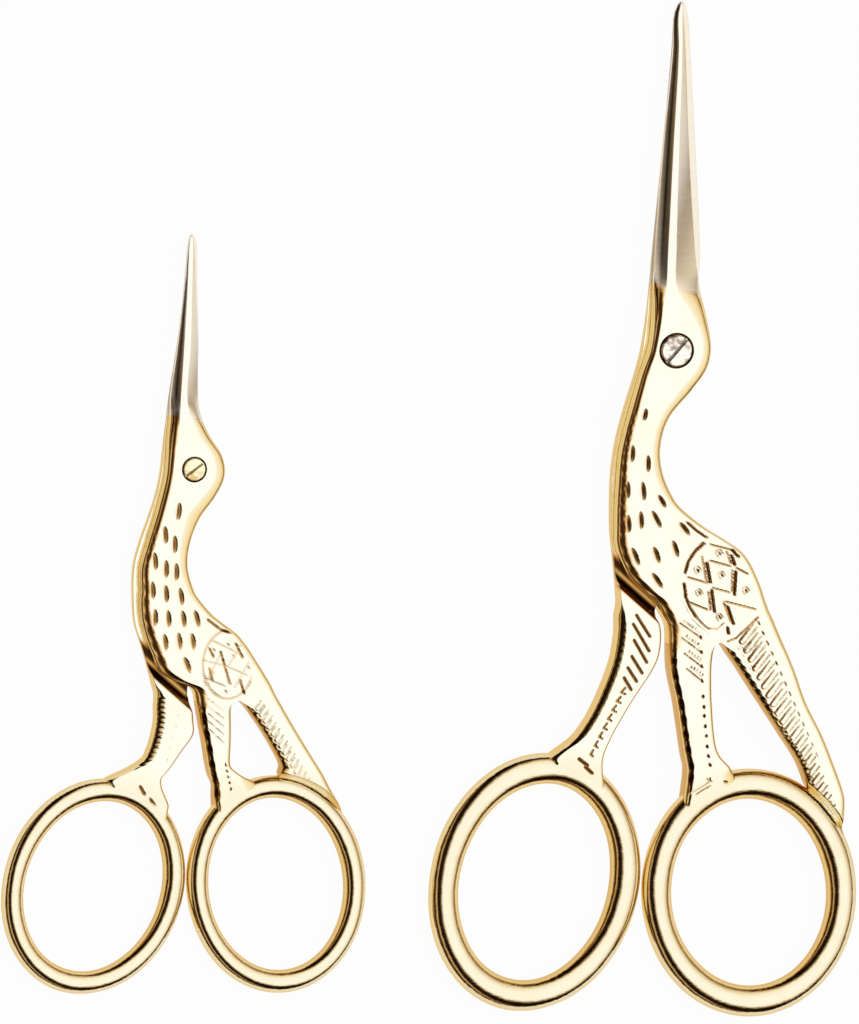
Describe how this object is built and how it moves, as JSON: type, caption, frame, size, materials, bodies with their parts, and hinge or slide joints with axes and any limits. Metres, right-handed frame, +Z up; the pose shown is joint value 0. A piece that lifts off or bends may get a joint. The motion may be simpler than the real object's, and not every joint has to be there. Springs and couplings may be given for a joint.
{
  "type": "embroidery scissors set",
  "caption": "Set of stork-shaped embroidery scissors in two sizes, lying closed, with chased gold-plated handles, long steel blades and slotted pivot screws.",
  "frame": {"origin": "on the table under the middle of the set's extent", "axes": "+Y towards the blade tips, +X to the large pair's side, +Z up from the table"},
  "size_m": [0.1088, 0.126, 0.0038],
  "materials": {
    "gold_plate": "polished gold plating over forged steel, with bare ground steel blades",
    "screw_steel": "turned and slotted steel",
    "screw_gold": "gold-plated turned and slotted steel"
  },
  "bodies": {
    "large_back": {"large_back_half": "gold_plate", "large_pivot_screw": "screw_steel"},
    "large_front": {"large_front_half": "gold_plate"},
    "small_front": {"small_front_half": "gold_plate"},
    "small_back": {"small_back_half": "gold_plate", "small_pivot_screw": "screw_gold"}
  },
  "joints": [
    {"name": "large_pivot", "type": "hinge", "parent": "large_back", "child": "large_front", "pos_m": [0.03099, 0.01995, 0.0017], "axis": [0, 0, 1], "range_deg": [0, 70]},
    {"name": "small_pair_lift", "type": "slide", "parent": "large_back", "child": "small_front", "axis": [0, 0, 1], "range_m": [0, 0.06]},
    {"name": "small_pivot", "type": "hinge", "parent": "small_front", "child": "small_back", "pos_m": [-0.03021, 0.00685, 0.0014], "axis": [0, 0, -1], "range_deg": [0, 70]}
  ]
}
